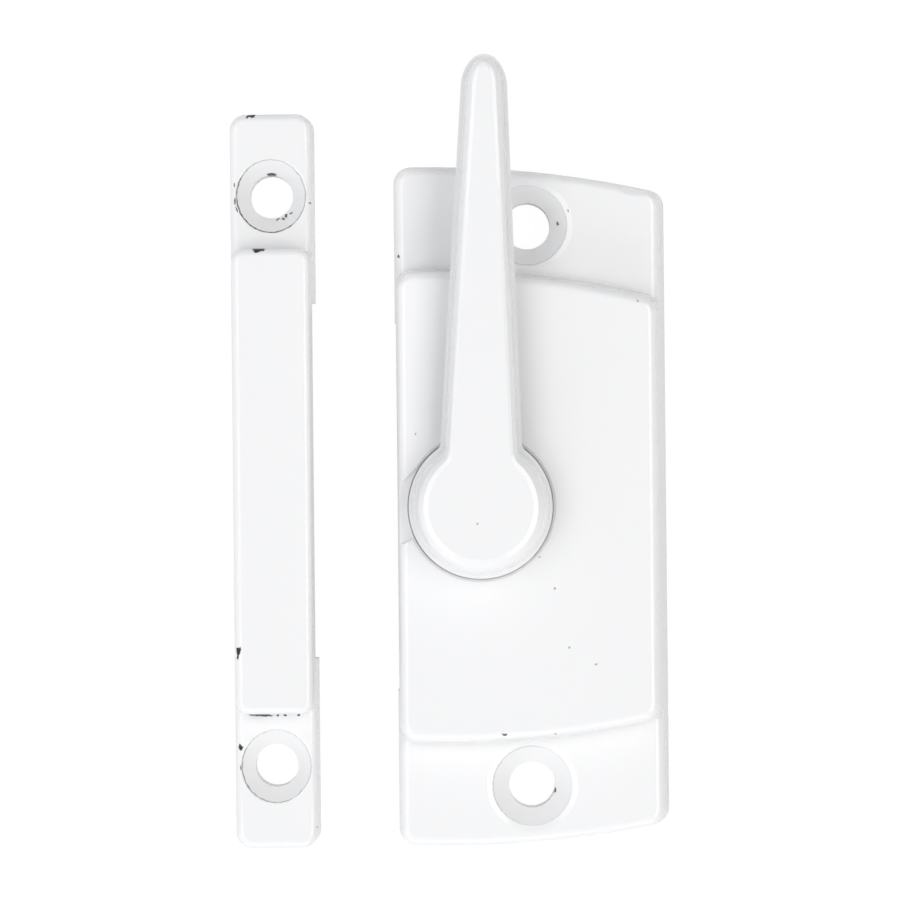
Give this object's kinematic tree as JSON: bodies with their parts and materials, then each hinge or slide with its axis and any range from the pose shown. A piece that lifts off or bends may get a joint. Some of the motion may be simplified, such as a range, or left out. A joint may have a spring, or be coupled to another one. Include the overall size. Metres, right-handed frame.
{
  "type": "sash lock",
  "caption": "White cam sash lock for a sliding window, with a case, a thumb lever and a hidden cam, and a separate keeper bar.",
  "frame": {"origin": "midway between the case's two screw holes, on the plane of the case's back", "axes": "+Z away from the rails, out of the case's face; +Y along the rails, towards the end that the unlocked lever points to; +X from the keeper across to the case"},
  "size_m": [0.0446, 0.0805, 0.0145],
  "materials": {
    "enamel": "glossy white enamel on a zinc die casting",
    "plated_steel": "zinc plated",
    "spring_steel": "plain spring steel"
  },
  "bodies": {
    "case": {"case": "enamel", "keeper": "enamel"},
    "lever": {"lever": "enamel", "cam": "plated_steel", "spring_washer": "spring_steel", "lock_washer": "spring_steel", "cam_screw": "plated_steel"}
  },
  "joints": [
    {"name": "lever_turn", "type": "hinge", "parent": "case", "child": "lever", "pos_m": [-0.00505, 0, 0.007], "axis": [0, 0, 1], "range_deg": [-179, 1]}
  ]
}
